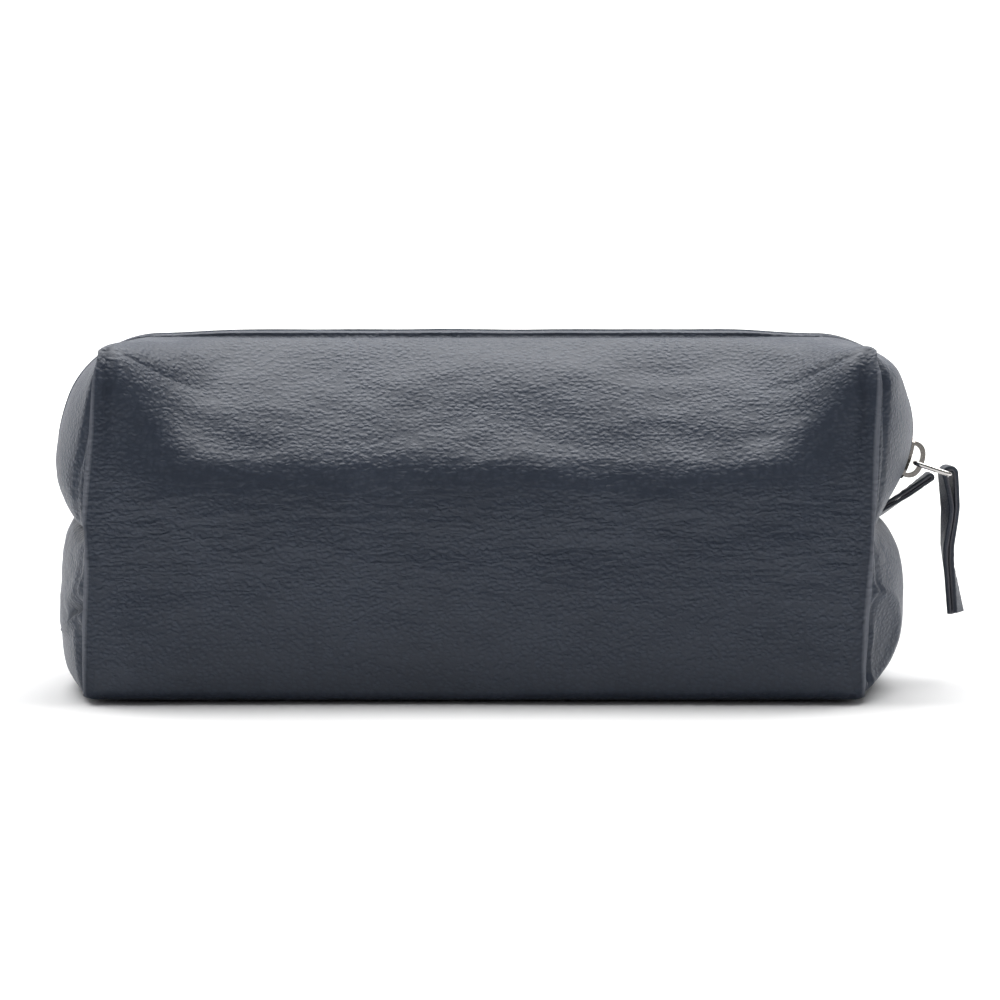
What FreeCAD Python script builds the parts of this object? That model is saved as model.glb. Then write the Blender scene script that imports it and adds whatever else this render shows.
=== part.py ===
"""A soft leather shaving kit bag with a zip over the top and down both ends.

Frame, in millimetres: +X along the bag towards the closed end of the zip, -Y out of the front,
+Z up. The origin is the middle of the base, on the surface that the bag stands on.
Every layer of the body is a half shell, front or back, lofted from sections in the XZ plane.
"""
import FreeCAD
import Part

import math
import os

V = FreeCAD.Vector

# ---- body ----
PANEL_HALF_LENGTH = 129.0   # to the upright seam at each end of the front
HALF_DEPTH = 57.0           # from the zip to the front
UPPER_R = 32.5              # radius of the upper rounded lobe of each end, seen from the front
LOWER_R = 32.0              # the lower lobe's
LOWER_SHY = 1.5             # the lower lobe bulges this much less
TOP_Z = 120.5               # top of the zip line
EAR_Z = 117.0               # top of the panel at its upright seams
LOBE_X = 115.0              # X of the lobes' centres
UPPER_Z = TOP_Z - UPPER_R   # Z of the upper lobe's centre, which is also the slider's turning centre
LOWER_Z = LOWER_R           # Z of the lower lobe's centre
FLAT_HALF_DEPTH = 16.0      # the section doesn't change this far from the zip
TOP_CORNER_R = 26.0         # front top corner, seen from the end
BASE_CORNER_R = 8.0         # front bottom corner, seen from the end
SEAM_BOW = 0.3              # outward bow of an upright seam
LOFT_DEPTHS = (-50.0, -38.0, -26.0, -FLAT_HALF_DEPTH)

# ---- layers, as depths under the outer surface ----
LEATHER = (0.0, 1.4)
PADDING = (1.5, 3.0)
LINING = (3.1, 3.6)
BOARD_HALF_LENGTH = 108.0
BOARD_HALF_DEPTH = 44.0
BOARD_GAP = 0.4

# ---- zip ----
ZIP_SLOT_HALF = 6.0         # half the gap between the two leather lips
PADDING_SLOT_HALF = 16.5
LINING_SLOT_HALF = 8.5
TAPE_DEPTH = 1.55           # top of the tape under the outer surface
TAPE_THICK = 0.5
TAPE_INNER = 2.3            # the tape's edge that the teeth grip
TAPE_OUTER = 15.0
ZIP_LOW_ANGLE = -52.0       # where the tape ends, below the lobe's centre
CHAIN_R = UPPER_R - TAPE_DEPTH - TAPE_THICK / 2
TOOTH_PITCH = 2.5
TOOTH_LENGTH = 1.05         # along the zip
TOOTH_HALF_HEIGHT = 1.2
TOOTH_ROOT = 3.3            # outer end of a tooth, past the tape's edge
TOOTH_TIP = 0.7             # how far a tooth reaches past the middle
TOOTH_CLEARANCE = 0.08      # around the tape
CHAIN_FRONT_ANGLE = -17.5   # the last closed tooth, inside the slider
CHAIN_BACK_ANGLE = -41.0    # the first tooth at the other end
TOP_STOP_ANGLE = -25.5
STOP_LENGTH = 2.6

# ---- slider ----
SLIDER_ANGLE = -18.5        # middle of the slider, with the zip closed
SLIDER_HALF_LENGTH = 7.0
CHANNEL_HALF_HEIGHT = 1.65
PLATE_THICK = 1.35
CHANNEL_HALF_WIDTH = 3.65
FLANGE_THICK = 0.95
TAPE_GAP_HALF = 0.65
NOSE_FLARE = 0.8            # the wide end is this much wider on each side
FLARE_START = 0.5           # along the slider, from its middle
FLARE_END = 3.2
DIAMOND_HALF_WIDTH = 1.1
DIAMOND_BACK = 2.2          # along the slider, from its middle
DIAMOND_FRONT = 6.4
BAIL_HALF_WIDTH = 1.5
BAIL_BAR = 1.5
BAIL_HEIGHT = 5.4           # above the top plate
BAIL_HALF_LENGTH = 6.4

# ---- ring, pull and tab ----
WIRE_R = 0.85
RING_LENGTH = 12.5          # between the middles of its end bars
RING_HALF_WIDTH = 6.0       # to the middle of the wire
RING_CORNER_R = 1.7
RING_ANGLE = -18.0          # below level, at rest
RING_LIFT = 1.0             # gap between the plate and the ring's bar
RING_LOWER = 1.0            # degrees from the slider's middle to the ring's bar
PULL_HALF_WIDTH = 4.0
PULL_LAYER = 2.1
PULL_LENGTH = 48.5          # below the ring's bar
PULL_BORE_CLEARANCE = 0.08
TAB_PIVOT = V(132.5, 0, 56.8)
TAB_ANGLE = 34.0
TAB_LENGTH = 27.0
TAB_HALF_THICK = 1.35
TAB_HALF_WIDTH = 5.6
TAB_DROP = 8.0              # how far the tab can be bent down before it meets the pull
NOTCH_MARGIN = 0.5
NOTCH_REACH = 10.0          # either way from the tab's pivot

# ---- thread ----
THREAD_R = 0.28
STITCH_LENGTH = 2.3
STITCH_PITCH = 3.1
LIP_STITCH_Y = 8.6
LAY = 0.02                  # gap that keeps a stitch off the leather

SLIDER_CENTRE = V(LOBE_X, 0, UPPER_Z)
PLATE_OUTER_R = CHAIN_R + CHANNEL_HALF_HEIGHT + PLATE_THICK
PLATE_INNER_R = CHAIN_R - CHANNEL_HALF_HEIGHT - PLATE_THICK


def polar(centre, radius, degrees):
    """A point in the XZ plane at an angle above +X."""
    a = math.radians(degrees)
    return centre + V(radius * math.cos(a), 0, radius * math.sin(a))


def box(x0, x1, y0, y1, z0, z1):
    return Part.makeBox(x1 - x0, y1 - y0, z1 - z0, V(x0, y0, z0))


def prism(points, y0, y1):
    """A straight-sided outline in the XZ plane, drawn out along Y."""
    wire = Part.makePolygon([V(x, y0, z) for x, z in points] + [V(points[0][0], y0, points[0][1])])
    return Part.Face(wire).extrude(V(0, y1 - y0, 0))


def mirrored(shape):
    """The back half of a front half."""
    return shape.mirror(V(0, 0, 0), V(0, 1, 0))


# ---------------------------------------------------------------- body layers
def pinch(inset):
    """Where the two lobes of an end meet, as (how far past the lobes' centres, Z)."""
    upper = UPPER_R - inset
    lower = LOWER_R - inset
    apart = UPPER_Z - LOWER_Z
    rise = (apart ** 2 + lower ** 2 - upper ** 2) / (2 * apart)
    return math.sqrt(lower ** 2 - rise ** 2), LOWER_Z + rise


def end_share(y):
    """0 at the front, where the section is a plain rectangle, and 1 where the lobes are full."""
    t = (y + HALF_DEPTH) / (HALF_DEPTH - FLAT_HALF_DEPTH)
    return math.sin(min(max(t, 0.0), 1.0) * math.pi / 2)


def section(y, inset):
    """The bag's outline in the XZ plane at one depth, as a wire of six edges."""
    w = end_share(y)
    reach, pinch_z = pinch(inset)

    def between(front, middle):
        return front + (middle - front) * w

    side = PANEL_HALF_LENGTH - inset
    corner_x = between(side, LOBE_X)
    upper_x = between(side + SEAM_BOW, LOBE_X + UPPER_R - inset)
    lower_x = between(side + SEAM_BOW, LOBE_X + LOWER_R - inset - LOWER_SHY)
    pinch_x = between(side, LOBE_X + reach)
    top_z = between(EAR_Z, TOP_Z) - inset
    right = [
        V(corner_x, y, inset), V(lower_x, y, LOWER_Z), V(pinch_x, y, pinch_z),
        V(upper_x, y, UPPER_Z), V(corner_x, y, top_z),
    ]
    left = [V(-p.x, p.y, p.z) for p in right]
    edges = [
        Part.LineSegment(left[0], right[0]).toShape(),
        Part.Arc(right[0], right[1], right[2]).toShape(),
        Part.Arc(right[2], right[3], right[4]).toShape(),
        Part.LineSegment(right[4], left[4]).toShape(),
        Part.Arc(left[4], left[3], left[2]).toShape(),
        Part.Arc(left[2], left[1], left[0]).toShape(),
    ]
    return Part.Wire(edges)


def rounded_side(inset):
    """The bag's outline seen from the end, front half, drawn out along X: it rounds the front."""
    front = -HALF_DEPTH + inset
    top_r = TOP_CORNER_R - inset
    base_r = BASE_CORNER_R - inset
    top = TOP_Z - inset
    half = math.sqrt(0.5)
    start = V(-200, 1, inset)
    points = [
        start, V(-200, front + base_r, inset), V(-200, front, inset + base_r),
        V(-200, front, top - top_r), V(-200, front + top_r, top), V(-200, 1, top),
    ]
    base_mid = V(-200, front + base_r * (1 - half), inset + base_r * (1 - half))
    top_mid = V(-200, front + top_r * (1 - half), top - top_r * (1 - half))
    edges = [
        Part.LineSegment(points[0], points[1]).toShape(),
        Part.Arc(points[1], base_mid, points[2]).toShape(),
        Part.LineSegment(points[2], points[3]).toShape(),
        Part.Arc(points[3], top_mid, points[4]).toShape(),
        Part.LineSegment(points[4], points[5]).toShape(),
        Part.LineSegment(points[5], start).toShape(),
    ]
    return Part.Face(Part.Wire(edges)).extrude(V(400, 0, 0))


def half_solid(inset, past_middle):
    """The front half of the bag as one solid, its surface moved in by inset."""
    depths = [-HALF_DEPTH + inset] + list(LOFT_DEPTHS)
    lofted = Part.makeLoft([section(y, inset) for y in depths], True, True)
    middle = Part.Face(section(-FLAT_HALF_DEPTH, inset))
    middle = middle.extrude(V(0, FLAT_HALF_DEPTH + past_middle, 0))
    return lofted.fuse(middle).common(rounded_side(inset))


def notch():
    """The gap in the end seam that the tab passes through and swings in."""
    half = TAB_HALF_WIDTH + NOTCH_MARGIN
    thick = TAB_HALF_THICK + NOTCH_MARGIN + NOTCH_REACH * math.sin(math.radians(TAB_DROP / 2))
    gap = box(-NOTCH_REACH, NOTCH_REACH, -half, half, -thick, thick)
    turn = FreeCAD.Rotation(V(0, 1, 0), TAB_DROP / 2 - TAB_ANGLE)
    gap.Placement = FreeCAD.Placement(TAB_PIVOT, turn)
    return gap


def half_shell(depths, slot_half):
    """A front half layer between two depths, open along the zip."""
    shell = half_solid(depths[0], 0.0).cut(half_solid(depths[1], 1.0))
    shell = shell.cut(box(-200, 200, -slot_half, slot_half, pinch(0.0)[1], 200))
    return shell.cut(notch()).removeSplitter()


def board():
    return box(-BOARD_HALF_LENGTH, BOARD_HALF_LENGTH, -BOARD_HALF_DEPTH, BOARD_HALF_DEPTH,
               PADDING[0], PADDING[1])


def padding_half():
    gap = BOARD_GAP
    well = box(-BOARD_HALF_LENGTH - gap, BOARD_HALF_LENGTH + gap, -BOARD_HALF_DEPTH - gap, 1,
               PADDING[0] - 1, PADDING[1] + 1)
    return half_shell(PADDING, PADDING_SLOT_HALF).cut(well)


# ---------------------------------------------------------------- along the zip
def zip_stations(pitch, low_right, low_left):
    """Places along the zip line, from the closed end over the top: (x, z, angle of the outward normal)."""
    arc_right = math.radians(90 - low_right) * CHAIN_R
    arc_left = math.radians(90 - low_left) * CHAIN_R
    straight = 2 * LOBE_X
    total = arc_right + straight + arc_left
    count = int(total / pitch)
    found = []
    for k in range(count + 1):
        s = k * pitch
        if s < arc_right:
            angle = low_right + math.degrees(s / CHAIN_R)
            found.append((LOBE_X, UPPER_Z, angle))
        elif s < arc_right + straight:
            found.append((LOBE_X - (s - arc_right), UPPER_Z, 90.0))
        else:
            angle = 90 + math.degrees((s - arc_right - straight) / CHAIN_R)
            found.append((-LOBE_X, UPPER_Z, angle))
    return found


def on_zip(shape, station, radius):
    """A shape made with +Z out of the bag and +X down the zip, set at a station."""
    x, z, angle = station
    placed = shape.copy()
    place = FreeCAD.Placement(polar(V(x, 0, z), radius, angle), FreeCAD.Rotation(V(0, 1, 0), 90 - angle))
    placed.Placement = place.multiply(shape.Placement)
    return placed


def band(r_in, r_out, y0, y1, low):
    """A strip that follows the zip line, between two distances from the lobes' centres."""
    def wire_edges(r):
        right = V(LOBE_X, y0, UPPER_Z)
        left = V(-LOBE_X, y0, UPPER_Z)
        return [
            (polar(right, r, low), polar(right, r, (90 + low) / 2), polar(right, r, 90)),
            (polar(left, r, 90), polar(left, r, (270 - low) / 2), polar(left, r, 180 - low)),
        ]

    outer = wire_edges(r_out)
    inner = wire_edges(r_in)
    edges = [
        Part.Arc(*outer[0]).toShape(),
        Part.LineSegment(outer[0][2], outer[1][0]).toShape(),
        Part.Arc(*outer[1]).toShape(),
        Part.LineSegment(outer[1][2], inner[1][2]).toShape(),
        Part.Arc(*reversed(inner[1])).toShape(),
        Part.LineSegment(inner[1][0], inner[0][2]).toShape(),
        Part.Arc(*reversed(inner[0])).toShape(),
        Part.LineSegment(inner[0][0], outer[0][0]).toShape(),
    ]
    return Part.Face(Part.Wire(edges)).extrude(V(0, y1 - y0, 0))


def tape_front():
    top = UPPER_R - TAPE_DEPTH
    return band(top - TAPE_THICK, top, -TAPE_OUTER, -TAPE_INNER, ZIP_LOW_ANGLE)


def tooth():
    """One metal tooth of the front row: legs either side of the tape's edge and a nib at the middle."""
    half = TOOTH_LENGTH / 2
    high = TOOTH_HALF_HEIGHT
    nib_high = high * 0.7
    body = box(-half, half, -TOOTH_ROOT, -TOOTH_TIP, -high, high)
    nib = box(-half, half, -TOOTH_TIP, TOOTH_TIP, -nib_high, nib_high)
    grip = TAPE_THICK / 2 + TOOTH_CLEARANCE
    slot = box(-2, 2, -TOOTH_ROOT - 1, -TAPE_INNER + TOOTH_CLEARANCE, -grip, grip)
    return body.fuse(nib).cut(slot).removeSplitter()


def teeth(side):
    """A row of teeth. The back row is the front row turned round and set half a pitch on."""
    one = tooth() if side < 0 else mirrored(tooth())
    stations = zip_stations(TOOTH_PITCH / 2, CHAIN_FRONT_ANGLE, CHAIN_BACK_ANGLE)
    first = 0 if side < 0 else 1
    return Part.makeCompound([on_zip(one, s, CHAIN_R) for s in stations[first::2]])


def stop(y0, y1):
    """A crimped stop round the edges of one or both tapes."""
    high = TOOTH_HALF_HEIGHT
    half = STOP_LENGTH / 2
    body = box(-half, half, y0, y1, -high, high)
    body = body.makeFillet(0.35, body.Edges)
    grip = TAPE_THICK / 2 + TOOTH_CLEARANCE
    inner = TAPE_INNER - TOOTH_CLEARANCE
    for side in (-1, 1):
        ends = sorted((side * inner, side * 6))
        body = body.cut(box(-4, 4, ends[0], ends[1], -grip, grip))
    return body


def top_stops():
    station = (LOBE_X, UPPER_Z, TOP_STOP_ANGLE)
    inner = DIAMOND_HALF_WIDTH + 0.45
    pair = [on_zip(stop(-TOOTH_ROOT, -inner), station, CHAIN_R)]
    pair.append(on_zip(stop(inner, TOOTH_ROOT), station, CHAIN_R))
    return Part.makeCompound(pair)


def bottom_stop():
    angle = 180 - (CHAIN_BACK_ANGLE - 5.0)
    return on_zip(stop(-TOOTH_ROOT, TOOTH_ROOT), (-LOBE_X, UPPER_Z, angle), CHAIN_R)


def stitch():
    return Part.makeCylinder(THREAD_R, STITCH_LENGTH, V(-STITCH_LENGTH / 2, 0, 0), V(1, 0, 0))


def lip_stitches(side):
    stations = zip_stations(STITCH_PITCH, ZIP_LOW_ANGLE + 6, ZIP_LOW_ANGLE + 6)
    one = stitch()
    one.translate(V(0, side * LIP_STITCH_Y, 0))
    return Part.makeCompound([on_zip(one, s, UPPER_R + THREAD_R + LAY) for s in stations])


# ---------------------------------------------------------------- slider
def sector(r0, r1, y0, y1, half_length):
    """Part of a ring about the slider's turning axis, centred on the slider."""
    spread = math.degrees(half_length / CHAIN_R)
    low = SLIDER_ANGLE - spread
    corners = [polar(SLIDER_CENTRE, r, low) + V(0, y0, 0) for r in (r0, r1)]
    edge0 = Part.LineSegment(corners[0], corners[1]).toShape()
    face = edge0.extrude(V(0, y1 - y0, 0))
    return face.revolve(SLIDER_CENTRE, V(0, -1, 0), 2 * spread)


def slider_plan(half_width, corner, past):
    """An outline of the slider seen from above, wider at its nose, as a tall prism at the slider."""
    length = SLIDER_HALF_LENGTH + past
    tail = half_width
    nose = half_width + NOSE_FLARE
    side = [
        (-length, tail - corner), (-length + corner, tail), (FLARE_START, tail), (FLARE_END, nose),
        (length - corner, nose), (length, nose - corner),
    ]
    points = side + [(x, -y) for x, y in reversed(side)]
    wire = Part.makePolygon([V(x, y, -9) for x, y in points + side[:1]])
    return on_zip(Part.Face(wire).extrude(V(0, 0, 18)), (LOBE_X, UPPER_Z, SLIDER_ANGLE), CHAIN_R)


def slider_body():
    """Two plates with side flanges, joined by the diamond that parts the rows of teeth."""
    wide = CHANNEL_HALF_WIDTH + FLANGE_THICK + NOSE_FLARE
    half = SLIDER_HALF_LENGTH
    roof = CHAIN_R + CHANNEL_HALF_HEIGHT
    floor = CHAIN_R - CHANNEL_HALF_HEIGHT
    top = sector(roof, PLATE_OUTER_R, -wide, wide, half)
    bottom = sector(PLATE_INNER_R, floor, -wide, wide, half)
    sides = sector(floor - 0.1, roof + 0.1, -wide, wide, half)
    sides = sides.cut(slider_plan(CHANNEL_HALF_WIDTH, 0.0, 3.0))
    sides = sides.cut(sector(CHAIN_R - TAPE_GAP_HALF, CHAIN_R + TAPE_GAP_HALF, -9, 9, half + 1))
    body = top.fuse([bottom, sides]).common(slider_plan(CHANNEL_HALF_WIDTH + FLANGE_THICK, 1.3, 0.2))
    post_points = [
        (DIAMOND_BACK, 0), (DIAMOND_BACK + 1.6, -DIAMOND_HALF_WIDTH), (DIAMOND_FRONT, -DIAMOND_HALF_WIDTH * 0.6),
        (DIAMOND_FRONT, DIAMOND_HALF_WIDTH * 0.6), (DIAMOND_BACK + 1.6, DIAMOND_HALF_WIDTH),
    ]
    high = CHANNEL_HALF_HEIGHT + 0.5
    wire = Part.makePolygon([V(x, y, -high) for x, y in post_points] + [V(DIAMOND_BACK, 0, -high)])
    post = Part.Face(wire).extrude(V(0, 0, 2 * high))
    post = on_zip(post, (LOBE_X, UPPER_Z, SLIDER_ANGLE), CHAIN_R)
    return body.fuse(post).removeSplitter()


def slider_bail():
    """The arched loop on the top plate that the ring hangs from."""
    foot = PLATE_OUTER_R - CHAIN_R
    span = BAIL_HALF_LENGTH

    def arch(half_span, height, base):
        pts = [
            V(-half_span, -BAIL_HALF_WIDTH, base), V(-half_span * 0.8, -BAIL_HALF_WIDTH, base + height * 0.72),
            V(0, -BAIL_HALF_WIDTH, base + height), V(half_span * 0.8, -BAIL_HALF_WIDTH, base + height * 0.72),
            V(half_span, -BAIL_HALF_WIDTH, base),
        ]
        curve = Part.BSplineCurve()
        curve.interpolate(pts)
        wire = Part.Wire([curve.toShape(), Part.LineSegment(pts[-1], pts[0]).toShape()])
        return Part.Face(wire).extrude(V(0, 2 * BAIL_HALF_WIDTH, 0))

    outer = arch(span, BAIL_HEIGHT, foot - 0.3)
    inner = arch(span - BAIL_BAR, BAIL_HEIGHT - BAIL_BAR, foot - 0.5)
    loop = on_zip(outer.cut(inner), (LOBE_X, UPPER_Z, SLIDER_ANGLE), CHAIN_R)
    plate = Part.makeCylinder(PLATE_OUTER_R, 20, SLIDER_CENTRE - V(0, 10, 0), V(0, 1, 0))
    return loop.cut(plate)


# ---------------------------------------------------------------- ring, pull and tab
def ring_near():
    """The middle of the ring's bar that sits in the bail."""
    return polar(SLIDER_CENTRE, PLATE_OUTER_R + RING_LIFT + WIRE_R, SLIDER_ANGLE - RING_LOWER)


def ring_far():
    return polar(ring_near(), RING_LENGTH, RING_ANGLE)


def pull_ring():
    """A rounded rectangle of wire, in the plane of the Y axis and the ring's direction."""
    along = (ring_far() - ring_near()) / RING_LENGTH
    across = V(0, 1, 0)
    c = RING_CORNER_R
    half_w = RING_HALF_WIDTH

    def at(u, v):
        return ring_near() + along * u + across * v

    bend = c * (1 - math.sqrt(0.5))
    lines = [
        (at(0, -half_w + c), at(0, half_w - c)),
        (at(c, half_w), at(RING_LENGTH - c, half_w)),
        (at(RING_LENGTH, half_w - c), at(RING_LENGTH, -half_w + c)),
        (at(RING_LENGTH - c, -half_w), at(c, -half_w)),
    ]
    mids = [
        at(bend, half_w - bend), at(RING_LENGTH - bend, half_w - bend),
        at(RING_LENGTH - bend, -half_w + bend), at(bend, -half_w + bend),
    ]
    edges = []
    for k in range(4):
        edges.append(Part.LineSegment(*lines[k]).toShape())
        edges.append(Part.Arc(lines[k][1], mids[k], lines[(k + 1) % 4][0]).toShape())
    path = Part.Wire(edges)
    section_wire = Part.Wire([Part.Circle(lines[0][0], across, WIRE_R).toShape()])
    return path.makePipeShell([section_wire], True, True)


def pull_strap():
    """A leather strip folded over the ring's far bar, its two layers meeting below it."""
    c = ring_far()
    bore = WIRE_R + PULL_BORE_CLEARANCE
    loop_r = bore + PULL_LAYER
    w = PULL_HALF_WIDTH
    loop = Part.makeCylinder(loop_r, 2 * w, c - V(0, w, 0), V(0, 1, 0))
    layers = [
        (-loop_r + 0.05, -2.0), (-PULL_LAYER, -8.0), (-PULL_LAYER, -PULL_LENGTH),
        (PULL_LAYER, -PULL_LENGTH), (PULL_LAYER, -8.0), (loop_r - 0.05, -2.0), (0, 1.0),
    ]
    legs = prism([(c.x + x, c.z + z) for x, z in layers], -w, w)
    hole = Part.makeCylinder(bore, 2 * w + 2, c - V(0, w + 1, 0), V(0, 1, 0))
    return loop.fuse(legs).cut(hole).removeSplitter()


def end_tab():
    """A folded leather tab sewn into the end seam, on a short round root that it bends about."""
    t = TAB_HALF_THICK
    w = TAB_HALF_WIDTH
    strip = box(0, TAB_LENGTH, -w, w, -t, t)
    tip = [e for e in strip.Edges if e.BoundBox.XMin > TAB_LENGTH - 0.01 and e.BoundBox.ZLength > 1]
    strip = strip.makeFillet(1.5, tip)
    strip.Placement = FreeCAD.Placement(TAB_PIVOT, FreeCAD.Rotation(V(0, 1, 0), -TAB_ANGLE))
    root = Part.makeCylinder(t, 2 * w, TAB_PIVOT - V(0, w, 0), V(0, 1, 0))
    return strip.fuse(root).removeSplitter()


def strap_stitches():
    """Two rows of thread down the face of the pull that looks away from the bag."""
    c = ring_far()
    made = []
    for side in (-1, 1):
        for k in range(12):
            z = c.z - 10.0 - k * STITCH_PITCH * 0.95
            place = V(c.x + PULL_LAYER + THREAD_R + LAY, side * (PULL_HALF_WIDTH - 1.1), z)
            made.append(Part.makeCylinder(THREAD_R, STITCH_LENGTH, place, V(0, 0, -1)))
    return Part.makeCompound(made)


def tab_stitches():
    """Two rows of thread along the top of the tab."""
    made = []
    for side in (-1, 1):
        for k in range(5):
            one = stitch()
            one.translate(V(8.0 + k * STITCH_PITCH, side * (TAB_HALF_WIDTH - 1.3),
                            TAB_HALF_THICK + THREAD_R + LAY))
            one.Placement = FreeCAD.Placement(
                TAB_PIVOT, FreeCAD.Rotation(V(0, 1, 0), -TAB_ANGLE)).multiply(one.Placement)
            made.append(one)
    return Part.makeCompound(made)


def build():
    front = half_shell(LEATHER, ZIP_SLOT_HALF)
    padding = padding_half()
    lining = half_shell(LINING, LINING_SLOT_HALF)
    tape = tape_front()
    return {
        "front_panel": front,
        "back_panel": mirrored(front),
        "padding_front": padding,
        "padding_back": mirrored(padding),
        "base_board": board(),
        "lining_front": lining,
        "lining_back": mirrored(lining),
        "zip_tape_front": tape,
        "zip_tape_back": mirrored(tape),
        "zip_teeth_front": teeth(-1),
        "zip_teeth_back": teeth(1),
        "zip_top_stops": top_stops(),
        "zip_bottom_stop": bottom_stop(),
        "lip_stitches_front": lip_stitches(-1),
        "lip_stitches_back": lip_stitches(1),
        "slider_body": slider_body(),
        "slider_bail": slider_bail(),
        "pull_ring": pull_ring(),
        "pull_strap": pull_strap(),
        "pull_stitches": strap_stitches(),
        "end_tab": end_tab(),
        "tab_stitches": tab_stitches(),
    }


os.makedirs("parts", exist_ok=True)
for name, shape in build().items():
    shape.exportStep(f"parts/{name}.step")
    b = shape.BoundBox
    print(f"{name:20s} solids {len(shape.Solids):4d} valid {shape.isValid()} volume {shape.Volume:10.1f}"
          f"  x {b.XMin:7.1f} {b.XMax:7.1f}  y {b.YMin:6.1f} {b.YMax:6.1f}  z {b.ZMin:6.1f} {b.ZMax:6.1f}")
print("slider centre", SLIDER_CENTRE, "ring near", ring_near(), "ring far", ring_far())
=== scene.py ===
"""The looks of a soft navy leather shaving kit bag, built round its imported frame.

Sizes here are millimetres until a mesh is made, and the axes are the frame's: +X along the bag towards
the closed end of the zip, -Y out of the front, +Z up, the floor at Z 0.
"""
import math

import bmesh
import bpy
import numpy as np
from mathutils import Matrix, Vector, noise
from mathutils.bvhtree import BVHTree


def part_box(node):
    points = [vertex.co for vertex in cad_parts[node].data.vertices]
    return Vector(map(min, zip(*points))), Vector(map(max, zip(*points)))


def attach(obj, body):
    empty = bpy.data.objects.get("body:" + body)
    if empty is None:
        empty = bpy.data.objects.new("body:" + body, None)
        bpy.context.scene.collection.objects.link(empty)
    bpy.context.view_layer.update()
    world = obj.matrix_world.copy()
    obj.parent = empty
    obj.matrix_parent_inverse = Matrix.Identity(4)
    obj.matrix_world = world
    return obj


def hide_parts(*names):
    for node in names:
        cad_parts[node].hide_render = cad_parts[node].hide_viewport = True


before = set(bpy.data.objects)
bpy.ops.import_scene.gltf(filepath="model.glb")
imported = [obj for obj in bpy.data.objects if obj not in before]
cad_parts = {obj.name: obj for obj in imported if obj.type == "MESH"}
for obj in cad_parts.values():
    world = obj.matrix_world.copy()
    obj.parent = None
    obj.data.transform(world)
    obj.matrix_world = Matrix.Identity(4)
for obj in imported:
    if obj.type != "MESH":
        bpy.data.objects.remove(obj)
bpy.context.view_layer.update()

MM = 0.001

# ---------------------------------------------------------------- the bag's shape
LOBE_X = 115.0             # X of the centres of the lobes at each end
UPPER_R = 31.7
UPPER_Z = 88.0
UPPER_SWEEP = 148.5        # degrees of the upper lobe, from its top to the pinch
LOWER_RX = 29.0
LOWER_R = 32.0
LOWER_START = 62.0         # where the lower lobe begins, in degrees above level
LOWER_SWEEP = 152.0
PINCH = 0.5                # how far down an end its two lobes meet, as a share of its height
PINCH_DROP = 2.8           # how much lower they meet at the left end
SLUMP = 3.4                # how far in the top of the left end has slumped
EAR = 4                    # the profile point at the top of an upright seam
FOOT = 12                  # and the one at its bottom
LIP_Y = 7.2                # where the turned lip's roll begins
STITCH_IN = 2.9            # from the lip's roll to its stitches
ZIP_R = 32.5               # the radius at which distances along the zip are measured
TAPE_R = 30.7              # and that of the tapes
TAPE_END = -51.5           # the angle at which the tapes end, in degrees above level
# front half profiles, seen from the end, from the zip over the front to the middle of the base: (Y, Z)
MIDDLE_PROFILE = np.array([
    (-7.2, 120.6), (-12, 119.1), (-18.5, 115.0), (-26, 109.2), (-33.6, 102.5), (-40.9, 95.2), (-47.5, 87.4),
    (-54.5, 78.0), (-57.2, 66.5), (-57.1, 48.0), (-57.0, 30.0), (-56.9, 10.0), (-55.6, 3.0), (-49.5, 0.7),
    (-34, 0.3), (-17, 0.1), (0, 0.0)])
END_PROFILE = np.array([
    (-7.2, 119.7), (-16, 119.5), (-28, 119.1), (-39, 118.4), (-50, 117.0), (-55.6, 108.0), (-57.2, 92.0),
    (-57.4, 75.0), (-57.4, 57.0), (-57.3, 40.0), (-57.2, 23.0), (-56.9, 9.0), (-55.4, 2.8), (-49, 0.7),
    (-34, 0.3), (-17, 0.1), (0, 0.0)])
BASE = len(END_PROFILE) - 1  # the profile point in the middle of the base
# half-lengths of the front at heights, for the left and right upright seams: (Z, X)
SEAM_LINE = {-1: [(0, 131.3), (25, 130.6), (46, 129.6), (60, 130.5), (89, 127.8), (120, 127.0)],
             1: [(0, 126.0), (13, 125.4), (30, 126.0), (54, 128.2), (87, 128.8), (120, 130.8)]}
# rough sizes that turn shares of the surface into millimetres
END_DEPTH = 57.0           # from an upright seam to the middle of an end
MOUTH_DEPTH = 50.0         # the same near the middle, where the surface is narrower
FRONT_LENGTH = 129.0       # from the middle of the front to an upright seam
PROFILE_STEP = 12.5        # between two profile points
FAR = 200.0                # stands for no zip here
BAG_MIDDLE = np.array([0.0, 0.0, 60.0])
BAG_HALF_SIZE = np.array([143.0, 57.0, 60.0])


def smooth(x, low, high):
    """0 below low, 1 above high, and an even S between."""
    t = np.clip((x - low) / (high - low), 0.0, 1.0)
    return t * t * (3 - 2 * t)


def hill(x, centre, width):
    """1 at the centre, falling evenly to nothing on both sides."""
    return np.exp(-((x - centre) / width) ** 2)


def catmull(points, t):
    """Points on a smooth curve through an array of points, at t counted in points from the first."""
    last = len(points) - 1
    k = np.clip(np.floor(t).astype(int), 0, last - 1)
    f = (t - k)[..., None]
    p = [points[np.clip(k + d, 0, last)] for d in (-1, 0, 1, 2)]
    return 0.5 * (2 * p[1] + (p[2] - p[0]) * f + (2 * p[0] - 5 * p[1] + 4 * p[2] - p[3]) * f ** 2
                  + (3 * p[1] - p[0] - 3 * p[2] + p[3]) * f ** 3)


def seam_x(side, z):
    """The half-length of the front at a height, at the left (-1) or right (1) seam."""
    line = SEAM_LINE[side]
    return np.interp(z, [p[0] for p in line], [p[1] for p in line])


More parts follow.
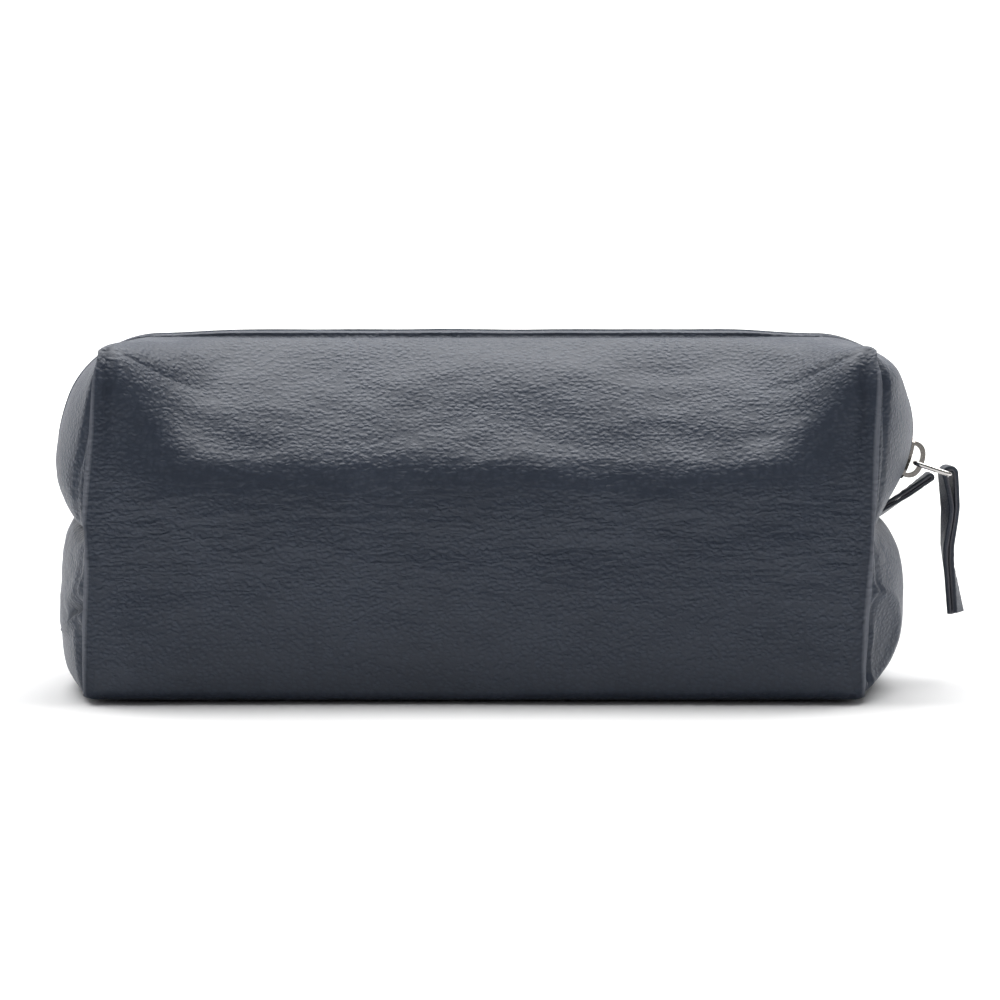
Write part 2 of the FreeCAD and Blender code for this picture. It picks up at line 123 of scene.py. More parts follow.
def slump(x, z):
    """How far in, along +X, the left end has slumped at a place on or near the zip."""
    return SLUMP * smooth(-x, 80, LOBE_X) * smooth(z, 70, 98)


def centre_share(t):
    """How far from the upright seams (0) towards the zip or the base's middle (1) a profile point is."""
    top = np.clip((EAR - t) / EAR, 0, 1)
    base = np.clip((t - FOOT) / (BASE - FOOT), 0, 1)
    return np.maximum(top, base)


def panel_edge_x(side, t, z):
    """The half-length of the long panel at a profile point: the seam's, drawn in to the lobes' centres."""
    w = np.sin(centre_share(t) * math.pi / 2)
    lobe_x = LOBE_X - (slump(-LOBE_X, z) if side < 0 else 0)
    return seam_x(side, z) * (1 - w) + lobe_x * w


def panel(a, t):
    """The long panel. a runs from -1 at the left seam to 1 at the right, t down the profile."""
    a, t = np.broadcast_arrays(np.asarray(a, float), np.asarray(t, float))
    middle = catmull(MIDDLE_PROFILE, t)
    end = catmull(END_PROFILE, t)
    boxy = smooth(np.abs(a), 0.7, 1.0)[..., None] ** 1.2
    yz = middle * (1 - boxy) + end * boxy
    left = panel_edge_x(-1, t, yz[..., 1])
    right = panel_edge_x(1, t, yz[..., 1])
    x = np.where(a < 0, a * left, a * right)
    return np.stack([x, yz[..., 0], yz[..., 1]], -1)


def signed_power(v, k):
    """v to the power k, keeping v's sign."""
    return np.sign(v) * np.abs(v) ** k


def lobes(side, c):
    """An end's outline at the middle of the bag: X out from the middle, and Z. c runs down from 0 to 1."""
    pinch_drop = PINCH_DROP if side < 0 else 0.0
    up = np.clip(c / PINCH, 0, 1)
    angle = np.radians(90 - UPPER_SWEEP * up)
    ux = LOBE_X + UPPER_R * np.cos(angle)
    uz = UPPER_Z + UPPER_R * np.sin(angle) - pinch_drop * smooth(up, 0.75, 1.0)
    if side < 0:
        ux = ux - slump(-ux, uz)
    down = np.clip((c - PINCH) / (1 - PINCH), 0, 1)
    # the squareness of the lower lobe above and below its widest place
    above, below = (4.0, 5.5) if side < 0 else (2.6, 3.2)
    n = np.where(down < LOWER_START / LOWER_SWEEP, above, below)
    low = np.radians(LOWER_START - LOWER_SWEEP * down)
    lx = LOBE_X + LOWER_RX * signed_power(np.cos(low), 2.0 / n)
    lz = LOWER_R + LOWER_R * signed_power(np.sin(low), 2.0 / n)
    # it starts where the upper lobe stops
    stop = math.radians(90 - UPPER_SWEEP)
    start_x = LOBE_X + UPPER_R * math.cos(stop)
    start_z = UPPER_Z + UPPER_R * math.sin(stop) - pinch_drop
    join = 1 - smooth(down, 0.0, 0.13)
    lx = lx * (1 - join) + start_x * join
    lz = lz * (1 - join) + start_z * join
    return np.where(c <= PINCH, ux, lx), np.where(c <= PINCH, uz, lz)


def end(side, s, c):
    """An end of the bag. s runs from 0 at the upright seam to 1 at the middle, c down from top to base."""
    s, c = np.broadcast_arrays(np.asarray(s, float), np.asarray(c, float))
    t_seam = EAR + (FOOT - EAR) * c
    seam = catmull(END_PROFILE, t_seam)
    top = catmull(END_PROFILE, EAR * (1 - s))
    base = catmull(END_PROFILE, FOOT + (BASE - FOOT) * s)
    lobe_x, lobe_z = lobes(side, c)
    w = np.sin(s * math.pi / 2)
    slot = 1 - smooth(c, PINCH - 0.05, PINCH + 0.005)
    y_mid = -LIP_Y * slot
    y = seam[..., 0] * (1 - s) + y_mid * s
    z = seam[..., 1] * (1 - w) + lobe_z * w
    # the rows at the top and base keep the panel's edges, so that the two meet
    near_top = hill(c, 0.0, 0.08)
    near_base = hill(c, 1.0, 0.08)
    y = y + (top[..., 0] - (END_PROFILE[EAR, 0] * (1 - s) - LIP_Y * s)) * near_top
    y = y + (base[..., 0] - END_PROFILE[FOOT, 0] * (1 - s)) * near_base
    z = z + (top[..., 1] - (END_PROFILE[EAR, 1] * (1 - w) + (UPPER_Z + UPPER_R) * w)) * near_top
    z = z + (base[..., 1] - END_PROFILE[FOOT, 1] * (1 - w)) * near_base
    # seen from above, an end leaves the seam at a wide angle and then rounds over
    round_w = np.sqrt(np.clip(1 - (1 - s) ** 2, 0, 1))
    wx = w + 0.6 * (round_w - w) * smooth(c, 0.0, 0.1) * (1 - smooth(c, 0.93, 1.0))
    x = seam_x(side, z) * (1 - wx) + lobe_x * wx
    return np.stack([side * x, y, z], -1)


def steps(*spans):
    """Sample places: each span is (start, end, count), and the last span's end is added."""
    parts = [np.linspace(a, b, n, endpoint=False) for a, b, n in spans]
    return np.concatenate(parts + [[spans[-1][1]]])


# ---------------------------------------------------------------- meshes
def make_mesh(name, verts, faces):
    """A smooth mesh object from millimetre points."""
    mesh = bpy.data.meshes.new(name)
    mesh.from_pydata([tuple(v) for v in np.asarray(verts, float) * MM], [], [tuple(f) for f in faces])
    mesh.validate()
    mesh.update()
    mesh.polygons.foreach_set("use_smooth", [True] * len(mesh.polygons))
    obj = bpy.data.objects.new(name, mesh)
    bpy.context.scene.collection.objects.link(obj)
    return obj


def grid_faces(rows, cols, first=0, flip=False):
    """Quads for a grid of points stored row by row."""
    faces = []
    for r in range(rows - 1):
        for c in range(cols - 1):
            k = first + r * cols + c
            quad = (k, k + 1, k + cols + 1, k + cols)
            faces.append(quad[::-1] if flip else quad)
    return faces


# sample places of the surface: across an end from seam to middle, down it, and along the panel
END_ACROSS = steps((0, 0.06, 12), (0.06, 0.2, 10), (0.2, 0.86, 26), (0.86, 1, 20))
END_DOWN = steps((0, 0.06, 10), (0.06, 0.45, 46), (0.45, 0.55, 34), (0.55, 1, 56))
PANEL_ALONG = steps((-1, -0.972, 13), (-0.972, -0.9, 10), (-0.9, 0.9, 200), (0.9, 0.972, 10), (0.972, 1, 13))


def half_surface(across, down, along):
    """The front half's points, faces, and facts: for each point (1 on an end, a or the side, t, s, c)."""
    t = np.concatenate([EAR * (1 - across[::-1]), EAR + (FOOT - EAR) * down[1:],
                        FOOT + (BASE - FOOT) * across[1:]])
    points, facts, faces = [], [], []

    def add(grid, fact, flip):
        first = sum(len(p) for p in points)
        rows, cols = grid.shape[:2]
        points.append(grid.reshape(-1, 3))
        facts.append(np.stack([np.broadcast_to(f, (rows, cols)).ravel() for f in fact], -1))
        faces.extend(grid_faces(rows, cols, first, flip))

    add(panel(along[None, :], t[:, None]), (0.0, along[None, :], t[:, None], 0.0, 0.0), True)
    for side in (-1, 1):
        grid = end(side, across[None, :], down[:, None])
        add(grid, (1.0, float(side), 0.0, across[None, :], down[:, None]), side > 0)
    points = np.concatenate(points)
    facts = np.concatenate(facts)
    # points that the panel and the ends share become one. Adding 0 makes one key of 0 and -0
    keys = np.round(points, 3) + 0.0
    _, first, index = np.unique(keys, axis=0, return_index=True, return_inverse=True)
    index = index.ravel()
    order = np.argsort(first)
    rank = np.empty_like(order)
    rank[order] = np.arange(len(order))
    keep = first[order]
    joined = []
    for f in faces:
        g = [rank[index[k]] for k in f]
        ring = [k for j, k in enumerate(g) if k != g[j - 1]]
        if len(ring) > 2:
            joined.append(tuple(ring))
    return points[keep], joined, facts[keep]


def normals_of(points, faces):
    """Outward unit normals at the points."""
    total = np.zeros_like(points)
    quads = np.array([f if len(f) == 4 else (*f, f[-1]) for f in faces])
    across = points[quads[:, 2]] - points[quads[:, 0]]
    along = points[quads[:, 3]] - points[quads[:, 1]]
    n = np.cross(across, along)
    for k in range(4):
        np.add.at(total, quads[:, k], n)
    return total / np.maximum(np.linalg.norm(total, axis=1, keepdims=True), 1e-9)


def wander(points, size, seed):
    """Smooth noise about 0 at each point. size is a hump's size in mm along each axis."""
    scale = np.asarray(size, float)
    shifted = points / scale + seed
    return np.array([noise.noise(Vector(p)) for p in shifted])


def valley(points, start, stop, width):
    """1 on a line between two (X, Z) places of the front, fading over width and towards its ends."""
    a, b = np.array(start, float), np.array(stop, float)
    p = points[:, [0, 2]]
    along = np.clip(((p - a) @ (b - a)) / ((b - a) @ (b - a)), 0, 1)
    off = np.linalg.norm(p - (a + along[:, None] * (b - a)), axis=1)
    return np.exp(-(off / width) ** 2) * np.sin(np.pi * np.clip(along, 0.04, 0.96)) ** 0.6


def zip_distance(points, facts):
    """Millimetres from each point to its zip edge, and a large number where there is no zip."""
    is_end, _, t, s, c = facts.T
    on_end = (1 - s) * MOUTH_DEPTH + FAR * smooth(c, PINCH - 0.02, PINCH + 0.03)
    on_panel = np.abs(points[:, 1]) - LIP_Y + FAR * (t > EAR)
    return np.where(is_end > 0, on_end, on_panel)


def seam_distance(facts):
    """Millimetres from each point to the nearest upright seam."""
    is_end, a, t, s, _ = facts.T
    past = PROFILE_STEP * (np.maximum(EAR - t, 0) + np.maximum(t - FOOT, 0))
    return np.where(is_end > 0, s * END_DEPTH, np.hypot((1 - np.abs(a)) * FRONT_LENGTH, past))


def end_folds(side, s, z):
    """How far the leather of an end stands out at its folds, near the upright seams."""
    near_seam = s * END_DEPTH
    if side < 0:
        # the upper part of the lower lobe hangs over a second, lower one
        d = z - (31.5 - 6.5 * smooth(s, 0, 0.35))
        fade = 1 - smooth(s, 0.45, 0.85)
        out = fade * (-2.8 * hill(d, 1.3, 1.8) + 1.5 * hill(d, -2.0, 1.7) + 1.0 * hill(d, 7.0, 4.0))
        depth = 0.3 + smooth(z, 66, 100) + 1.1 * hill(z, 15, 12)
        return out * smooth(near_seam, 0, 2.5) - 2.0 * depth * hill(near_seam, 3.4, 1.9)
    # a curved fold rings a pocket beside the seam
    r = np.sqrt((s / 0.36) ** 2 + ((z - 22.0) / 15.5) ** 2)
    out = 1.7 * hill(r, 1.0, 0.13) - 2.6 * hill(r, 0.35, 0.4)
    out += 1.8 * hill(near_seam, 4.4, 1.0) * hill(z, 17, 9)
    depth = 0.35 + smooth(z, 84, 108) + 0.8 * hill(z, 15, 12)
    return out * smooth(near_seam, 0, 2.5) - 1.9 * depth * hill(near_seam, 2.9, 1.3)


# soft folds along the front where it starts to lean back, and slanting ones from the top corners:
# (depth, the (X, Z) places where it starts and stops, width), with a negative depth for a ridge
FRONT_FOLDS = [
    (0.25, (-90, 92), (80, 90), 8), (0.5, (-60, 52), (70, 50), 7), (0.3, (-88, 62), (104, 60), 6),
    (-0.3, (-86, 76), (112, 77), 7), (0.6, (-124, 108), (-76, 82), 6), (0.4, (-124, 95), (-94, 70), 6),
    (-0.35, (-118, 100), (-74, 74), 5), (0.6, (126, 108), (84, 84), 6), (0.4, (126, 94), (98, 70), 5),
    (-0.35, (120, 100), (86, 75), 5), (0.6, (-112, 118), (-84, 100), 4), (0.4, (-30, 104), (26, 92), 7)]


def shaped(points, faces, facts, seed, ear_drop, fine=True):
    """The half with its seams, sags and folds, and the painted highlight on its seam beads. fine adds all
    that is small.
    """
    is_end, a, t, s, c = facts.T
    side = np.sign(a)
    points = points.copy()
    z = points[:, 2].copy()
    face = (1 - is_end) * smooth(t, EAR - 0.8, EAR + 0.6) * (1 - smooth(t, FOOT - 0.2, FOOT + 0.8))
    painted_highlight_and_core = np.zeros(len(points))
    # the whole surface is a little uneven
    n = normals_of(points, faces)
    edge = np.where(is_end > 0, s * END_DEPTH, (1 - np.abs(a)) * FRONT_LENGTH)
    from_seam = seam_distance(facts)
    near_zip = zip_distance(points, facts)
    calm = smooth(near_zip, 6, 22) * smooth(z, 0.5, 6)
    lift = 1.5 * wander(points, (75, 60, 45), seed) + 0.9 * wander(points, (34, 30, 20), seed + 3)
    lift += 0.35 * wander(points, (15, 12, 8), seed + 7)
    quiet_end = 1 - 0.75 * is_end * smooth(c, 0, 0.2)
    points += n * (lift * quiet_end * calm * smooth(from_seam, 1.0, 16))[:, None]
    folds = sum(depth * valley(points, start, stop, width) for depth, start, stop, width in FRONT_FOLDS)
    points += n * (-folds * face)[:, None]
    # the ends swell out beside the upright seams
    left = is_end * (side < 0)
    right = is_end * (side > 0)
    open_end = 1 - smooth(c, 0.474, 0.497)
    puff = left * (2.8 * smooth(c, 0.3, 0.43) * open_end - 1.2 * hill(c, 0.2, 0.1) + 0.2 * hill(c, 0.66, 0.1))
    puff += right * (4.3 * hill(c, 0.12, 0.08) - 1.0 * hill(c, 0.34, 0.08) + 1.0 * hill(c, 0.7, 0.1))
    points[:, 0] += side * puff * np.sin(np.pi * s ** 0.65)
    for way, where in ((-1, left > 0), (1, right > 0)):
        points[where, 0] += way * end_folds(way, s[where], z[where]) * smooth(c[where], 0.03, 0.09)
    # the corners at the ears are round
    ear = hill(points[:, 2], 116.5, 6) * hill(from_seam, 0, 6)
    points[:, 0] -= side * 0.5 * ear
    points[:, 1] += 1.2 * ear
    points[:, 2] -= 0.2 * ear + ear_drop * smooth(points[:, 2], 96, 116) * hill(from_seam, 0, 22)
    if fine:
        wrinkles = wander(points, (20, 9, 4.2), seed + 11) * hill(z, 56, 24)
        wrinkles += 0.8 * wander(points, (11, 6, 3.2), seed + 13) * hill(z, 60, 32)
        wrinkles += 0.6 * wander(points, (8, 8, 7), seed + 17)
        points += n * (0.17 * wrinkles * calm * smooth(from_seam, 1, 8))[:, None]
        # the seam across each end is a deep narrow line
        points[:, 0] -= side * is_end * 2.2 * hill(c, PINCH, 0.006) * smooth(s, 0.0, 0.2)
        # the upright seams stand out as a thin bead, and the front sinks a little beside them
        seam = np.where(is_end > 0, smooth(c, 0.05, 0.12),
                        smooth(t, EAR + 0.4, EAR + 0.96) * (1 - smooth(t, FOOT, FOOT + 0.8)))
        bead = np.sqrt(np.clip(1 - (edge / 0.5) ** 2, 0, 1)) * seam
        points[:, 0] += side * 0.5 * bead
        points[:, 1] -= 0.7 * bead
        points[:, 1] += (0.7 + 1.2 * smooth(z, 74, 98)) * hill(edge, 3.4, 2.2) * face
        # the bead is also painted paler: a painted highlight along the seam's ridge
        painted_highlight_and_core += bead
        # the seam under the base and up the lower lobes
        lower = smooth(c, PINCH + 0.02, PINCH + 0.06)
        under = np.where(is_end > 0, hill((1 - s) * MOUTH_DEPTH, 0, 1.1) * lower,
                         hill(points[:, 1], 0, 1.1) * (t > FOOT))
        points -= n * (0.9 * under)[:, None]
        # the turned edge beside the zip is a soft roll, held down by a line of stitches
        height = np.where(is_end > 0, 0.5, 0.5 + 0.5 * (1 - smooth(np.abs(points[:, 0]), 84, 112)))
        height = height + 0.3 * wander(points * (1, 0, 0), (24, 1, 1), seed + 19)
        roll = height * (1 - smooth(near_zip, 1.9, 2.7)) - 0.4 * hill(near_zip, STITCH_IN, 0.6)
        points += n * (roll * (near_zip < 30))[:, None]
    points[:, 2] = np.maximum(points[:, 2], 0.02)
    return points, np.clip(painted_highlight_and_core, 0, 1)


def lip_line(facts):
    """Indices of the points along the zip lip, from the left pinch over the top to the right one."""
    is_end, a, t, s, c = facts.T
    found = []
    for side in (-1, 1):
        k = np.where((is_end > 0) & (a == side) & (s == 1) & (c < PINCH - 0.004))[0]
        found.append(k[np.argsort(c[k])])
    top = np.where((is_end == 0) & (t == 0))[0]
    top = top[np.argsort(a[top])]
    return np.concatenate([found[0][::-1], top, found[1]])


# the lip after its roll, row by row: (towards the other half, outwards) from the lip line
LIP_ROLL = [(0.45, 0.12), (0.85, 0.02), (1.15, -0.35), (1.25, -0.9), (1.1, -1.5), (0.6, -2.0), (-0.4, -2.2),
            (-3.6, -2.6)]


def zip_normal(p):
    """The outward direction of the zip line nearest a point."""
    x = np.clip(p[:, 0], -LOBE_X, LOBE_X)
    d = np.stack([p[:, 0] - x, np.zeros(len(p)), np.maximum(p[:, 2] - UPPER_Z, 0) + 1e-6], -1)
    low = p[:, 2] < UPPER_Z
    d[low, 2] = p[low, 2] - UPPER_Z
    return d / np.linalg.norm(d, axis=1, keepdims=True)


def leather_half(name, y_sign, seed, ear_drop):
    """One half of the leather body, with the turned lip of its zip edge."""
    points, faces, facts = half_surface(END_ACROSS, END_DOWN, PANEL_ALONG)
    points, painted_highlight_and_core = shaped(points, faces, facts, seed, ear_drop)
    line = lip_line(facts)
    p = points[line]
    n = zip_normal(p)
    rows = [points]
    previous = line
    first = len(points)
    for toward, up in LIP_ROLL:
        row = p + n * up
        row[:, 1] += toward
        rows.append(row)
        now = np.arange(first, first + len(line))
        for k in range(len(line) - 1):
            faces.append((previous[k], previous[k + 1], now[k + 1], now[k]))
        previous = now
        first += len(line)
    points = np.concatenate(rows)
    points[:, 1] *= -y_sign
    if y_sign > 0:
        faces = [f[::-1] for f in faces]
    obj = make_mesh(name, points, faces)
    # the seam beads' painted highlight, kept on the points for the leather's colour
    mark = obj.data.attributes.new("painted_highlight_and_core", "FLOAT", "POINT")
    mark.data.foreach_set("value", np.concatenate([painted_highlight_and_core, np.zeros(len(points) - len(painted_highlight_and_core))]))
    return obj, BVHTree.FromPolygons([Vector(v) for v in points], faces)


def inner_half(name, y_sign, seed, ear_drop, depth, thickness, stop_y, stop_seam=0):
    """A layer inside one half of the leather, about depth under it.

    It stops at stop_y from the middle along the zip, and at stop_seam from the upright seams.
    """
    across = steps((0, 0.15, 3), (0.15, 1, 13))
    down = steps((0, 0.44, 12), (0.44, 0.56, 6), (0.56, 1, 12))
    along = steps((-1, 1, 60))
    points, faces, facts = half_surface(across, down, along)
    points, _ = shaped(points, faces, facts, seed, ear_drop, fine=False)
    is_end, _, t, _, c = facts.T
    points = BAG_MIDDLE + (points - BAG_MIDDLE) * (1 - depth / BAG_HALF_SIZE)
    beside_zip = (is_end == 0) & (t < EAR) | (is_end > 0) & (c < PINCH - 0.03)
    at_zip = (np.abs(points[:, 1]) < stop_y) & beside_zip
    at_seam = seam_distance(facts) < stop_seam
    faces = [f for f in faces if not any(at_zip[k] or at_seam[k] for k in f)]
    used = sorted({k for f in faces for k in f})
    renumber = {k: i for i, k in enumerate(used)}
    faces = [tuple(renumber[k] for k in f) for f in faces]
    points = points[used]
    points[:, 1] *= -y_sign
    if y_sign > 0:
        faces = [f[::-1] for f in faces]
    layer = make_mesh(name, points, faces)
    solid = layer.modifiers.new("thickness", "SOLIDIFY")
    solid.thickness = thickness * MM
    solid.offset = -1
    return layer


# ---------------------------------------------------------------- zip, thread and straps
def zip_station(distance):
    """X of the centre, and the angle, of a place on the zip line at a distance from the middle of the top."""
    beyond = abs(distance) - LOBE_X
    if beyond <= 0:
        return distance, math.radians(90)
    side = math.copysign(1, distance)
    return side * LOBE_X, math.radians(90) - side * (beyond / ZIP_R)


# round a tape, with its corded edge at the teeth: (Y from the middle, outwards from TAPE_R)
TAPE_SECTION = [
    (2.35, 0.3), (2.3, 0.0), (2.35, -0.3), (2.8, -0.42), (3.25, -0.28), (4.0, -0.25), (9.0, -0.9),
    (14.2, -3.4), (14.3, -3.2), (14.2, -3.0), (9.0, -0.4), (4.0, 0.25), (3.25, 0.28), (2.8, 0.42)]
TAPE_STATIONS = 340


def zip_strip(name, y_sign):
    """The woven tape: a thin strip under the lip, all the way along the zip."""
    reach = LOBE_X + ZIP_R * math.radians(90 - TAPE_END)
    points, faces = [], []
    for d in np.linspace(-reach, reach, TAPE_STATIONS):
        x, angle = zip_station(d)
        for y, up in TAPE_SECTION:
            r = TAPE_R + up
            points.append((x + r * math.cos(angle), y_sign * y, UPPER_Z + r * math.sin(angle)))
    n = len(TAPE_SECTION)
    for k in range(TAPE_STATIONS - 1):
        for j in range(n):
            i = (j + 1) % n
            quad = (k * n + j, k * n + i, (k + 1) * n + i, (k + 1) * n + j)
            faces.append(quad if y_sign > 0 else quad[::-1])
    first, last = list(range(n)), list(range(len(points) - n, len(points)))
    faces += [tuple(first[::-1]), tuple(last)] if y_sign > 0 else [tuple(first), tuple(last[::-1])]
    points = np.array(points)
    points[:, 0] += slump(points[:, 0], points[:, 2])
    return make_mesh(name, points, faces)


# rings along a stitch: (share of its half-length, height over the leather, radius)
STITCH_RINGS = [(-1.0, -0.5, 0.16), (-0.8, -0.18, 0.26), (-0.4, -0.04, 0.29), (0.4, -0.04, 0.29),
                (0.8, -0.18, 0.26), (1.0, -0.5, 0.16)]


def stitches(name, places, length, sink=0.0):
    """Thread: each stitch is a soft tube that dips into the leather. places holds (middle, along, up)."""
    sides = 7
    points, faces = [], []
    for middle, along, up in places:
        across = np.cross(along, up)
        base = len(points)
        for share, height, radius in STITCH_RINGS:
            centre = middle + along * share * length / 2 + up * (height - sink)
            for k in range(sides):
                u = 2 * math.pi * k / sides
                points.append(centre + radius * (across * math.cos(u) + up * math.sin(u)))
        for r in range(len(STITCH_RINGS) - 1):
            for k in range(sides):
                j = (k + 1) % sides
                row = base + r * sides
                faces.append((row + k, row + sides + k, row + sides + j, row + j))
        faces.append(tuple(base + k for k in range(sides)))
        top = base + (len(STITCH_RINGS) - 1) * sides
        faces.append(tuple(top + k for k in reversed(range(sides))))
    return make_mesh(name, points, faces)


RAY_START = 40             # from the lobe's centre
RAY_STOP = 26              # a ray that gets nearer than this has missed the lip


def lip_places(surface, y_sign, pitch, reach):
    """Places for stitches in the groove beside the lip, found on the leather itself by rays from outside."""
    found = []
    y = y_sign * (LIP_Y + STITCH_IN)
    for d in np.arange(-reach, reach + 0.01, pitch):
        x, angle = zip_station(d)
        up = np.array([math.cos(angle), 0, math.sin(angle)])
        centre = np.array([x, y, UPPER_Z])
        hit = surface.ray_cast(Vector(centre + up * RAY_START), Vector(-up))[0]
        if hit is not None and (Vector(centre) - hit).length > RAY_STOP:
            found.append((np.array(hit), np.array([up[2], 0, -up[0]]), up))
    return found


class Folded:
    """A strap folded back on itself: two layers that lie along a line and join in a loop at its start.

    direction runs from the loop to the loose ends and out is across the layers, both in the XZ plane. spread,
    twist (radians) and sag (mm along out) are functions of the distance from the loop.
    """

    def __init__(self, start, direction, out, length, half_width, thick, spread, twist, sag):
        self.start, self.direction, self.out = (np.array([v[0], 0.0, v[1]]) for v in (start, direction, out))
        self.length, self.half_width, self.thick = length, half_width, thick
        self.spread, self.twist, self.sag = spread, twist, sag

    def place(self, along, across, y):
        """The points at places on the strap: along it, across its layers, and y over its width."""
        along = np.asarray(along, float)
        phi = self.twist(np.maximum(along, 0))
        q = across * np.cos(phi) - y * np.sin(phi)
        w = across * np.sin(phi) + y * np.cos(phi)
        sag = self.sag(np.maximum(along, 0))
        spine = self.start + self.direction * along[..., None] + self.out * sag[..., None]
        return spine + self.out * q[..., None] + np.array([0, 1.0, 0]) * w[..., None]

    def mesh(self, name):
        """The strap, marked where its cut edges show the core between the two layers."""
        down = np.linspace(self.length, 0, 46)[:-1]
        turn = np.linspace(0, math.pi, 15)
        loop_r = float(self.spread(np.array(0.0)))
        along = np.concatenate([down, -loop_r * np.sin(turn), down[::-1] - 0.5])
        across = np.concatenate([-self.spread(down), -loop_r * np.cos(turn), self.spread(down[::-1])])
        line = np.stack([along, across], -1)
        step = np.gradient(line, axis=0)
        step /= np.linalg.norm(step, axis=1, keepdims=True)
        inward = np.stack([-step[:, 1], step[:, 0]], -1)
        inward *= np.sign((inward * -line).sum(1))[:, None]
        inward[:len(down)] = (0, 1)
        inward[-len(down):] = (0, -1)
        angles = 2 * math.pi * np.arange(40) / 40
        u = signed_power(np.sin(angles), 0.36) * self.thick / 2
        v = signed_power(np.cos(angles), 0.16) * self.half_width
        ring = len(angles)
        edge = smooth(np.abs(v) / self.half_width, 0.93, 0.985) * smooth(u, 0.02, 0.25)
        a = along[:, None] + inward[:, 0:1] * u
        b = across[:, None] + inward[:, 1:2] * u
        points = self.place(a, b, np.broadcast_to(v, a.shape)).reshape(-1, 3)
        faces = []
        for k in range(len(along) - 1):
            for j in range(ring):
                i = (j + 1) % ring
                faces.append((k * ring + j, (k + 1) * ring + j, (k + 1) * ring + i, k * ring + i))
        last = (len(along) - 1) * ring
        faces.append(tuple(range(ring)))
        faces.append(tuple(last + j for j in reversed(range(ring))))
        obj = make_mesh(name, points, faces)
        bm = bmesh.new()
        bm.from_mesh(obj.data)
        bmesh.ops.recalc_face_normals(bm, faces=bm.faces)
        bm.to_mesh(obj.data)
        bm.free()
        mark = obj.data.attributes.new("painted_highlight_and_core", "FLOAT", "POINT")
        mark.data.foreach_set("value", np.tile(edge, len(along)))
        return obj

    def rows(self, first, count, pitch, inset):
        """Stitch places along the outer face of the strap, in two rows."""
        found = []
        for y in (-1, 1):
            for k in range(count):
                ends = np.array([first + k * pitch - 0.2, first + k * pitch + 0.2])
                q = self.spread(ends) + self.thick / 2
                w = np.full(2, y * (self.half_width - inset))
                p = self.place(ends, q, w)
                lifted = self.place(ends, q + 1, w)
                along = (p[1] - p[0]) / np.linalg.norm(p[1] - p[0])
                up = lifted[0] - p[0]
                up = up - along * (up @ along)
                found.append((p.mean(0), along, up / np.linalg.norm(up)))
        return found


def by_distance(*pairs):
    """A function of distance through (distance, value) pairs."""
    return lambda d: np.interp(d, [p[0] for p in pairs], [p[1] for p in pairs])


def softened(name, cad_node, width):
    """A copy of a hard CAD node, slumped like the zip, with its edges rounded over."""
    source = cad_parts[cad_node]
    mesh = source.data.copy()
    mesh.transform(source.matrix_world)
    for v in mesh.vertices:
        v.co.x += float(slump(v.co.x / MM, v.co.z / MM)) * MM
    bm = bmesh.new()
    bm.from_mesh(mesh)
    bmesh.ops.remove_doubles(bm, verts=bm.verts, dist=0.002 * MM)
    bmesh.ops.dissolve_limit(bm, angle_limit=math.radians(1.0), verts=bm.verts, edges=bm.edges)
    bm.to_mesh(mesh)
    bm.free()
    mesh.polygons.foreach_set("use_smooth", [True] * len(mesh.polygons))
    obj = bpy.data.objects.new(name, mesh)
    bpy.context.scene.collection.objects.link(obj)
    bevel = obj.modifiers.new("edges", "BEVEL")
    bevel.width = width * MM
    bevel.segments = 2
    bevel.limit_method = "ANGLE"
    bevel.angle_limit = math.radians(38)
    bevel.use_clamp_overlap = True
    obj.modifiers.new("shading", "WEIGHTED_NORMAL")
    return obj


# ---------------------------------------------------------------- materials
def material(name, base, rough, **inputs):
    """A material and its node tree, with the values that are the same all over set on the shader."""
    mat = bpy.data.materials.new(name)
    mat.use_nodes = True
    tree = mat.node_tree
    shader = tree.nodes["Principled BSDF"]
    shader.inputs["Base Color"].default_value = (*base, 1)
    shader.inputs["Roughness"].default_value = rough
    for key, value in inputs.items():
        shader.inputs[key.replace("_", " ")].default_value = value
    return mat, tree, shader


def node(tree, kind, links=(), **settings):
    """Adds a node. links are (input, socket or value) pairs."""
    made = tree.nodes.new(kind)
    for key, value in settings.items():
        setattr(made, key, value)
    for where, what in links:
        if isinstance(what, bpy.types.NodeSocket):
            tree.links.new(what, made.inputs[where])
        else:
            made.inputs[where].default_value = what
    return made


def maths(tree, operation, *values):
    """The result of a maths node on sockets or numbers."""
    return node(tree, "ShaderNodeMath", enumerate(values), operation=operation).outputs[0]


def vector_maths(tree, operation, *values):
    """The result of a vector maths node on sockets or (X, Y, Z)."""
    return node(tree, "ShaderNodeVectorMath", enumerate(values), operation=operation).outputs[0]


def scaled_place(tree, unit):
    """The place on the object, counted in units of so many millimetres."""
    place = node(tree, "ShaderNodeTexCoord").outputs["Object"]
    return vector_maths(tree, "MULTIPLY", place, (1000 / unit, 1000 / unit, 1000 / unit))


def ramp(tree, value, low, high, to_low=0.0, to_high=1.0, **settings):
    """A value from low to high, turned into one from to_low to to_high."""
    links = [(0, value), (1, low), (2, high), (3, to_low), (4, to_high)]
    return node(tree, "ShaderNodeMapRange", links, **settings).outputs[0]


def noise_node(tree, place, scale, detail, distortion=0.0):
    """A noise texture. Its first output is the value."""
    links = [("Vector", place), ("Scale", scale), ("Detail", detail), ("Distortion", distortion)]
    return node(tree, "ShaderNodeTexNoise", links)


def mixed_colour(tree, share, first, second):
    """A colour between two. A mix node's colours are its inputs 6 and 7 and its output 2."""
    links = [(0, share), (6, first), (7, second)]
    return node(tree, "ShaderNodeMix", links, data_type="RGBA").outputs[2]


def bump(tree, shader, height, depth, strength=1.0):
    """Raises the surface by depth, in millimetres, where height is 1."""
    links = [("Height", height), ("Distance", depth * MM), ("Strength", strength)]
    tree.links.new(node(tree, "ShaderNodeBump", links).outputs[0], shader.inputs["Normal"])


